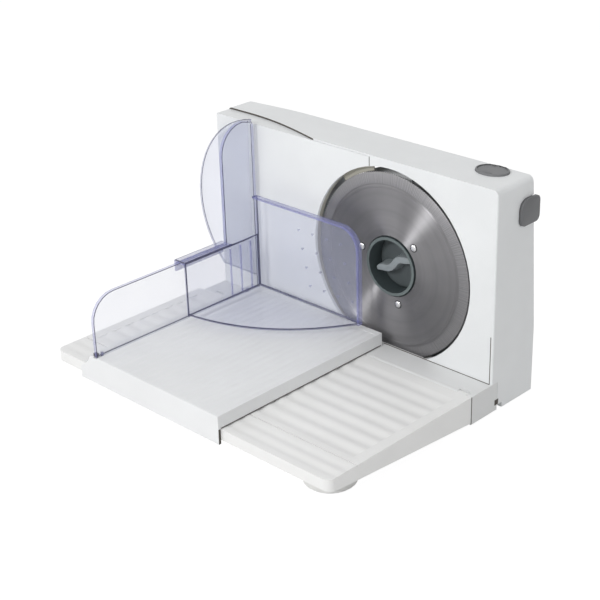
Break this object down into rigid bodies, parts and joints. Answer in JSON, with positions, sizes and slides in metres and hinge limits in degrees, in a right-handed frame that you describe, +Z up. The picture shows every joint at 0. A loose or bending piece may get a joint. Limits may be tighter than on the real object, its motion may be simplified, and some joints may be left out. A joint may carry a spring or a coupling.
{
  "type": "electric food slicer",
  "caption": "Folding electric food slicer: upright housing with a round serrated blade, sliding carriage with clear guard and pusher, adjustable stop plate, fold-up base.",
  "frame": {"origin": "on the worktop, under the middle of the bounding box", "axes": "+X to the right along the carriage's travel, +Y to the back, +Z up"},
  "size_m": [0.3452, 0.2734, 0.2045],
  "materials": {
    "white_plastic": "satin moulded white",
    "grey_plastic": "moulded light grey",
    "dark_plastic": "fine matt texture",
    "knob_plastic": "satin grey green",
    "black_plastic": "matt black",
    "clear_plastic": "clear with a faint violet tint",
    "blade_steel": "ground and circular brushed",
    "steel": "bright",
    "bush_brass": "turned",
    "copper_winding": "varnished winding",
    "black_rubber": "matt"
  },
  "bodies": {
    "housing": {"housing_shell": "white_plastic", "inner_frame": "grey_plastic", "rear_cover": "white_plastic", "cover_screw_1": "steel", "cover_screw_2": "steel", "cover_screw_3": "steel", "cover_screw_4": "steel", "slice_ramp": "white_plastic", "spindle_bush": "bush_brass", "motor_can": "steel", "motor_bracket": "steel", "switch_body": "black_plastic", "cord_gland": "black_rubber", "hinge_sill": "white_plastic", "hinge_pin_1": "steel", "hinge_pin_2": "steel", "rear_foot_1": "black_rubber", "rear_foot_2": "black_rubber"},
    "stop_plate": {"stop_plate": "white_plastic", "guide_rod_1": "steel", "guide_rod_2": "steel"},
    "thickness_dial": {"thickness_dial": "white_plastic", "dial_spindle": "steel"},
    "blade": {"blade_disc": "blade_steel", "blade_hub": "black_plastic", "blade_rivet_1": "steel", "blade_rivet_2": "steel", "blade_rivet_3": "steel", "blade_spindle": "steel", "worm_wheel": "grey_plastic", "spindle_clip": "steel"},
    "lock_knob": {"lock_knob": "knob_plastic"},
    "motor_rotor": {"motor_shaft": "steel", "motor_core": "copper_winding", "motor_worm": "steel"},
    "top_button": {"top_button": "dark_plastic"},
    "side_button": {"side_button": "dark_plastic"},
    "base": {"base_platform": "white_plastic", "front_foot_1": "white_plastic", "front_foot_2": "white_plastic"},
    "carriage_runner": {"carriage_runner": "grey_plastic"},
    "carriage": {"carriage_table": "white_plastic", "carriage_guard": "clear_plastic", "guard_pin_1": "steel", "guard_pin_2": "steel"},
    "pusher": {"pusher": "clear_plastic"}
  },
  "joints": [
    {"name": "blade_spin", "type": "hinge", "parent": "housing", "child": "blade", "pos_m": [0.0579, 0.06299, 0.1032], "axis": [0, 1, 0], "continuous": true},
    {"name": "lock_knob_turn", "type": "hinge", "parent": "blade", "child": "lock_knob", "pos_m": [0.0579, 0.06299, 0.1032], "axis": [0, 1, 0], "range_deg": [-90, 0]},
    {"name": "rotor_spin", "type": "hinge", "parent": "housing", "child": "motor_rotor", "pos_m": [0.0922, 0.1042, 0.05], "axis": [0, 0, 1], "continuous": true},
    {"name": "dial_turn", "type": "hinge", "parent": "housing", "child": "thickness_dial", "pos_m": [-0.0866, 0.11299, 0.112], "axis": [0, 1, 0], "range_deg": [0, 300]},
    {"name": "stop_plate_slide", "type": "slide", "parent": "housing", "child": "stop_plate", "axis": [0, 1, 0], "range_m": [0, 0.015]},
    {"name": "top_button_press", "type": "slide", "parent": "housing", "child": "top_button", "axis": [0, 0, -1], "range_m": [0, 0.002], "stiffness_N_per_m": 600},
    {"name": "side_button_press", "type": "slide", "parent": "housing", "child": "side_button", "axis": [-1, 0, 0], "range_m": [0, 0.0012], "stiffness_N_per_m": 600},
    {"name": "base_fold", "type": "hinge", "parent": "housing", "child": "base", "pos_m": [0.0579, 0.03929, 0.0252], "axis": [-1, 0, 0], "range_deg": [0, 90]},
    {"name": "carriage_slide", "type": "slide", "parent": "base", "child": "carriage_runner", "axis": [1, 0, 0], "range_m": [-0.035, 0.115]},
    {"name": "carriage_lift", "type": "slide", "parent": "carriage_runner", "child": "carriage", "axis": [0, -0.866, 0.5], "range_m": [0, 0.35]},
    {"name": "pusher_slide", "type": "slide", "parent": "carriage", "child": "pusher", "axis": [0, -1, 0], "range_m": [0, 0.072]}
  ],
  "couplings": [
    {"joint": "rotor_spin", "follows": "blade_spin", "ratio": -40},
    {"joint": "dial_turn", "follows": "stop_plate_slide", "rad_per_m": 349.06},
    {"joint": "carriage_lift", "follows": "base_fold", "m_per_rad": 0.22282}
  ]
}
